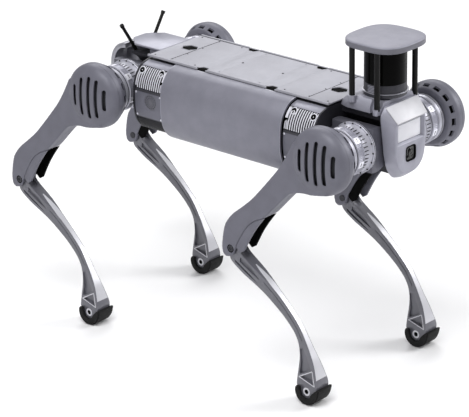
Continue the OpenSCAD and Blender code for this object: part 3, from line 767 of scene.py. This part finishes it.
# The roof's side band takes the darker paint as painted shade, and its top the lighter paint.
for word, part, material in [("lidar_roof_shaded_side", levels[:4], "rim"), ("lidar_roof", levels[3:], "cap")]:
    bm = solid([[(LIDAR_X + x, y, CAP_LOW + h) for x, y in squircle(75 - d, 76 - d, 3, 96)]
                for h, d in part])
    piece(word, bm, material, "trunk", sharp=50, replaces=["lidar_cap"])
ribs = []
for k in range(5):
    z = WINDOW_LOW - 3 - 3.1 * k
    arc = [math.radians(-104 + 3 * j) for j in range(9)]
    ring = [(LIDAR_X + r * math.cos(a), r * math.sin(a)) for r, a in
            [(46.8, a) for a in arc] + [(45.4, a) for a in arc[::-1]]]
    ribs.append(solid([[(x, y, z - 1.4) for x, y in ring], [(x, y, z) for x, y in ring]]))
piece("lidar_ribs", joined(*ribs), "hood", "trunk")
seat = revolved([(46.9, 111.4), (49.5, 111.4), (49.9, 112), (49.5, 112.9), (46.9, 113.2)], 72, "Z",
                (LIDAR_X, 0, 0), closed=True)
piece("lidar_seat_ring", seat, "metal", "trunk")

# ---------------------------------------------------------------- legs

# Outlines along the thigh from the hip and across it, and the pod's dome as (radius, outward)
THIGH_REAR = [(20, -68), (45, -61), (70, -55), (100, -50), (137, -47.5), (178, -45.5), (216, -45),
              (250, -48), (284, -52), (308, -51), (327, -46), (353, -30), (370, -16), (378, -4)]
THIGH_FRONT = [(375, 6), (364, 12), (353, 13), (335, 6), (301, -3), (269, -8), (243, -5), (216, 4),
               (190, 5), (130, 5), (107, 9), (82, 24), (60, 44), (25, 68)]
POD = [(75, 182), (75, 190), (74, 199), (70.5, 207), (62, 214), (48, 219.5), (30, 223.3),
       (14, 224.7), (0.01, 225)]
SPLIT = edge("thigh_cover_fl", LOW, Y)
WALLS = (175, 208)


def along(s, t, turn=THIGH_TURN):
    """A point of a leg's plane, given along the link and across it, as forward and up."""
    return (s * math.cos(turn) - t * math.sin(turn), s * math.sin(turn) + t * math.cos(turn))


def plate(points, y0, y1):
    return prism([along(*p) for p in points], y0, y1, "Y")


def thigh_body():
    outline = spline(THIGH_REAR, 5) + spline(THIGH_FRONT, 5)
    dome = [(0.01, 160), (64, 160)] + spline(POD, 5)
    return joined(plate(outline, 168, 214), revolved(dome, 128))


def thigh_space():
    """The room between the cheeks, open below and in front of the knee."""
    line = [(s, t + 3.5) for s, t in spline(THIGH_REAR, 3) if s < 338]
    return plate([(0, -66)] + line + [(338, -38), (400, -38), (400, 60), (216, 60), (216, 1.5),
                                      (130, 1.5), (105, 5), (78, 21), (56, 41), (20, 62), (0, 66)],
                 *WALLS)


def pod_space():
    """The room inside the pod for the motor."""
    dome = [(r - 3.2, y - 3.2 * math.sin(math.pi / 2 * (1 - r / 75)))
            for r, y in spline(POD, 4) if y > 185 and r > 10]
    return revolved([(0.01, 172), (38, 172), (38, 163.5), (60.5, 163.5), (71.8, 184)] + dome
                    + [(0.01, 221.8)], 96)


# Each vent's middle and its lower and upper ends
VENTS = [(-38, -24, 26), (-16.6, -42, 46), (6.5, -46, 52), (28, -41, 48), (49.7, -20, 29)]


def vents():
    out, w = [], 5
    for x, low, high in VENTS:
        arc = [(x + w * math.cos(a), high - w + w * math.sin(a)) for a in
               [math.pi * k / 8 for k in range(9)]]
        arc += [(x + w * math.cos(a), low + w + w * math.sin(a)) for a in
                [math.pi + math.pi * k / 8 for k in range(9)]]
        out.append(prism(arc, 205, 240, "Y"))
    return joined(*out)


def cone_slots():
    """The slots round the flank of the thigh's pod, apart from where the thigh joins it."""
    return copies(lambda: box(58, 82, 165, 174, -8, 8),
                  [Matrix.Rotation(2 * math.pi * k / 15, 4, "Y") for k in range(-7, 4)])


KNEE_AXIS = (KNEE.x, 0, KNEE.z)
# Both halves of a thigh are made once about the hip, then copied to the four corners.
UNIT = Matrix.Scale(MM, 4)
inner = piece("thigh_inner", thigh_body(), "leg", None, UNIT)
softened(inner, 1.9, 12)
cut(inner, thigh_space(), UNIT)
cut(inner, pod_space(), UNIT)
cover = bpy.data.objects.new("thigh_outer", inner.data.copy())
scene.collection.objects.link(cover)
cut(cover, box(-500, 500, 100, SPLIT + 0.3, -500, 500), UNIT)
cut(cover, vents(), UNIT)
cut(cover, drum(9.4, 210.5, 230, 40, "Y", KNEE_AXIS, 0.01), UNIT)
cut(inner, box(-500, 500, SPLIT - 0.3, 300, -500, 500), UNIT)
cut(inner, cone_slots(), UNIT)


def leg_copy(source, name, side, end):
    """A leg piece made once about its hip in metres, mirrored to its side and put at its corner."""
    obj = bpy.data.objects.new(name, source.data.copy())
    scene.collection.objects.link(obj)
    place = leg_matrix(side, end) @ Matrix.Scale(1 / MM, 4)
    obj.data.transform(place)
    if side < 0:
        obj.data.flip_normals()
    return obj


def motor_profile():
    """The motor from its flange at the hip to the inside of the pod, as (radius, outward)."""
    flange = [(0.01, 84), (56.2, 84), (57, 84.8), (57, 90.2), (56.4, 91), (53.4, 91.2)]
    waist = [(52, 94), (49.5, 99), (48.2, 104), (48, 108), (48.8, 114), (50.4, 116.4), (53.2, 117)]
    grip = [(54, 117.8), (54, 118.4), (52.6, 118.8), (52.6, 134.4), (54, 134.8), (54, 135.4)]
    neck = [(53.2, 136.1), (51.2, 136.4), (51, 137.2), (51, 139.4), (51.4, 140.2), (52.2, 140.6)]
    can = [(52.6, 141.4), (52.6, 155.8), (51.8, 157), (30, 157), (30, 171), (0.01, 171)]
    return flange + waist + grip + neck + can


def knurl(a, h):
    return -0.9 if 118.5 < h < 134.7 and math.sin(90 * a) < 0 else 0


def motor_plates(high, wide, deep, out, count=6):
    def one():
        return box(out, out + deep, 126 - high / 2, 126 + high / 2, -wide / 2, wide / 2)
    return copies(one, [Matrix.Rotation(2 * math.pi * (k + 0.3) / count, 4, "Y")
                        for k in range(count)])


# The calf's front edge and its half width, both along it from the knee
CALF_FRONT = [(0, 14), (22, 14.5), (50, 23), (93, 38), (120, 45), (157, 53), (200, 59), (222, 60),
              (250, 57.5), (276, 54), (307, 49), (336, 40), (350, 34)]
CALF_HALF = [(-40, 14), (60, 14), (85, 12), (115, 9), (150, 7.3), (200, 6.8), (245, 7.6),
             (280, 9.5), (310, 13), (335, 17.5), (352, 20.5), (392, 21)]
FRONT_LINE, HALF_LINE = spline(CALF_FRONT), spline(CALF_HALF)


def at(line, s):
    """The height of a line of points at s."""
    for (a, p), (b, q) in zip(line, line[1:]):
        if a <= s <= b:
            return p + (q - p) * (s - a) / max(b - a, 1e-6)
    return line[-1][1]


def calf_point(s, t):
    x, z = along(s, t, CALF_TURN)
    return KNEE.x + x, KNEE.z + z


def calf_spot(s, t, w):
    x, z = calf_point(s, t)
    return x, LEG_Y + w, z


def calf_highlight_strip():
    """The calf's front face, a hair proud of the casting, in the lighter metal as a painted highlight.
    """
    rings = []
    for k in range(60):
        s = 56 + 284 * k / 59
        t, w = at(FRONT_LINE, s), (at(HALF_LINE, s) - 0.9) * min(1, 0.12 + (s - 56) / 70)
        rings.append([calf_spot(s, t - 1.2, -w), calf_spot(s, t + 0.2, -w),
                      calf_spot(s, t + 0.2, w), calf_spot(s, t - 1.2, w)])
    return solid(rings)


RIB_CORNERS = [(318, 38), (313, -6), (349, 28)]
FOOT = (calf_point(CALF, 0)[0], 0, calf_point(CALF, 0)[1])
FOOT_FACE = 20.3


def calf_cuts():
    """Grooves down both sides, near the front face."""
    parts = []
    for a in (-1, 1):
        rings = []
        for k in range(24):
            s = 100 + 150 * k / 23
            t, w = at(FRONT_LINE, s) - 9, at(HALF_LINE, s)
            rings.append([calf_spot(s, t - 1.2, a * (w - 1.2)), calf_spot(s, t + 1.2, a * (w - 1.2)),
                          calf_spot(s, t + 1.2, a * (w + 3)), calf_spot(s, t - 1.2, a * (w + 3))])
        parts.append(solid(rings))
    return joined(*parts)


def foot_rib_highlights():
    """Edges of the triangular frame and the ring round the foot's cross hole, in the lighter metal as a
    painted highlight.
    """
    parts = []
    for a in (-1, 1):
        for (s0, t0), (s1, t1) in zip(RIB_CORNERS, RIB_CORNERS[1:] + RIB_CORNERS[:1]):
            length = math.dist((s0, t0), (s1, t1))
            ns, nt = -(t1 - t0) / length, (s1 - s0) / length
            rings = []
            for s, t in ((s0, t0), (s1, t1)):
                deep, proud = at(HALF_LINE, s) - 3, at(HALF_LINE, s) + 0.5
                rings.append([calf_spot(s + k * ns, t + k * nt, a * w)
                              for k, w in ((1, deep), (-1, deep), (-1, proud), (1, proud))])
            parts.append(solid(rings))
        y = LEG_Y + a * FOOT_FACE
        parts.append(tube(5.4, 9.4, y - 0.6, y + 0.6, 32, "Y", FOOT))
    return joined(*parts)


def thigh_pieces(name, side, end, place, thigh):
    """Both halves of the thigh, the dark linings of its pod, which paint the shade seen through its
    vents and slots, and the caps of the knee's pins.
    """
    obj = leg_copy(cover, "thigh_shell_" + name, side, end)
    finish_piece(obj, "leg", thigh, 50, ["thigh_cover_" + name])
    obj = leg_copy(inner, "thigh_cheek_" + name, side, end)
    finish_piece(obj, "leg", thigh, 50, ["thigh_frame_" + name])
    # A dark dome under the vents: painted shade inside the pod.
    shade_liner = revolved([(0.01, 216.5), (20, 216), (40, 213), (58, 206), (68, 197), (70, 196),
                      (60, 204.6), (40, 211.4), (20, 214.4), (0.01, 215)], 64)
    piece("vent_shade_liner_" + name, shade_liner, "dark", thigh, place)
    # A black ring behind the slots round the pod's flank: painted shade inside the pod.
    ring = revolved([(40, 176), (73.5, 181.5), (73.5, 182.6), (40, 177.4)], 64, closed=True)
    piece("pod_shade_baffle_" + name, ring, "black", thigh, place)
    cap_parts = joined(
        revolved([(0.01, 210), (7.2, 210), (7.2, 213.2), (6.4, 214), (3.4, 214), (3.0, 212.4),
                  (0.01, 212.4)], 36, "Y", KNEE_AXIS),
        drum(7.6, 166.4, 168.6, 36, "Y", KNEE_AXIS, 0.01))
    piece("knee_caps_" + name, cap_parts, "cast", thigh, place)
    ring = tube(7.6, 9.3, 210.6, 213.4, 36, "Y", KNEE_AXIS)
    piece("knee_cap_rings_" + name, ring, "black", thigh, place)


def motor_pieces(name, place, hip):
    """The hip's link and its motor with knurl, fingers, grooves, bolts and small bright plates."""
    motor = revolved(motor_profile(), 360, wave=knurl)
    piece("motor_ring_" + name, motor, "motor", hip, place, sharp=28,
          replaces=["thigh_motor_" + name])
    knurled = revolved([(47, 118.9), (53, 118.9), (53, 134.3), (47, 134.3)], 360, closed=True,
                       wave=knurl)
    piece("motor_knurl_" + name, knurled, "hood", hip, place, sharp=28)
    fingers = copies(lambda: box(46.5, 49.6, 98, 113.5, -0.9, 0.9),
                     [Matrix.Rotation(2 * math.pi * k / 36, 4, "Y") for k in range(36)])
    piece("motor_fingers_" + name, fingers, "block", hip, place)
    grooves = joined(*[tube(r - 2, r, y - w, y + w, 72) for r, y, w in
                       ((57.2, 87.6, 0.5), (50.7, 116.4, 0.6), (51.6, 138.3, 0.7), (52.9, 150, 0.5))])
    piece("motor_grooves_" + name, grooves, "black", hip, place)
    bolts = copies(lambda: screw(1.9, 1.6, on_y(0, 0, 0)),
                   [Matrix.Rotation(2 * math.pi * k / 16, 4, "Y") @ Matrix.Translation((54.9, 90.9, 0))
                    for k in range(16)])
    piece("flange_bolts_" + name, bolts, "bolt", hip, place)
    obj = piece("motor_plates_" + name, motor_plates(15, 15, 1.6, 51.8), "fins", None, place)
    finish_piece(bevelled(obj, 0.6, 2), "fins", hip)
    piece("motor_slits_" + name, motor_plates(1.6, 9, 1.7, 51.9), "black", hip, place)
    refined("hip_link_" + name, "housing", 2.0, 3)


def knee_pieces(name, place, thigh):
    """The knee's two cheeks, its black guards and the linkage inside the thigh."""
    for part, near, far, material in [("cheek", 200, 400, "leg"), ("guard", -400, 200, "black")]:
        obj = from_node("knee_guard_" + name, "knee_" + part + "_" + name)
        cut(obj, box(-600, 600, near, far, -700, 300), place, keep=True)
        finish_piece(bevelled(obj, 0.8, 2), material, thigh, 32, ["knee_guard_" + name])
    paint("knee_crank_" + name, "motor")
    paint("knee_rod_" + name, "steel")


def calf_pieces(name, place, calf):
    """The calf with its grooves, its front face and foot in painted highlight, and the sole."""
    obj = from_node("calf_" + name)
    cut(obj, calf_cuts(), place)
    finish_piece(bevelled(obj, 1.0, 2), "calf", calf, 30, ["calf_" + name])
    obj = piece("calf_front_highlight_" + name, calf_highlight_strip(), "bright", None, place)
    finish_piece(bevelled(obj, 0.4, 1), "bright", calf, 30)
    obj = piece("foot_rib_highlights_" + name, foot_rib_highlights(), "bright", None, place)
    finish_piece(bevelled(obj, 0.3, 1), "bright", calf, 30)
    holes = joined(*[drum(5, y - 0.4, y + 0.4, 24, "Y", FOOT, 0.01)
                     for y in (LEG_Y - FOOT_FACE, LEG_Y + FOOT_FACE)])
    piece("foot_holes_" + name, holes, "black", calf, place)
    refined("shoe_" + name, "rubber", 2.2, 3, sharp=40)


for name, side, end in LEGS:
    place = leg_matrix(side, end)
    thigh_pieces(name, side, end, place, "thigh_" + name)
    motor_pieces(name, place, "hip_" + name)
    knee_pieces(name, place, "thigh_" + name)
    calf_pieces(name, place, "calf_" + name)

bpy.data.objects.remove(cover)
bpy.data.objects.remove(inner)
